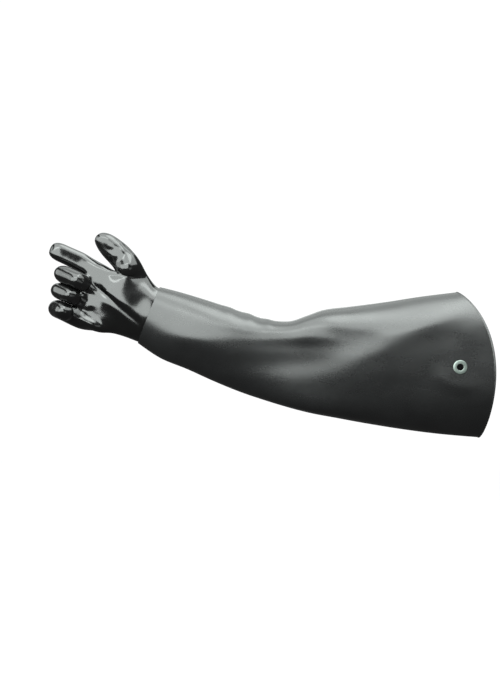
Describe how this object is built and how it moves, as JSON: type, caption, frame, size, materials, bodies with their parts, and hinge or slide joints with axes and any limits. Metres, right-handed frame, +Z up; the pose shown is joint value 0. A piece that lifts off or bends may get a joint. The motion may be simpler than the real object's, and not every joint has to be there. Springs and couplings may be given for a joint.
{
  "type": "neoprene glove",
  "caption": "Shoulder-length work glove for the right hand, kept in its worn shape: forefinger out, thumb up, other fingers curled, elbow bent, flared sleeve with a metal eyelet.",
  "frame": {"origin": "the middle of the sleeve's open end, half way between its top and bottom corners, where an arm goes in", "axes": "+X out of the opening along the upper arm, +Z up towards the thumb's side, -Y the palm's side"},
  "size_m": [0.7469, 0.1122, 0.3447],
  "materials": {
    "hand_rubber": "glossy",
    "sleeve_rubber": "satin",
    "eyelet_metal": "satin"
  },
  "bodies": {
    "root": {"hand": "hand_rubber", "sleeve": "sleeve_rubber", "eyelet": "eyelet_metal"}
  },
  "joints": []
}
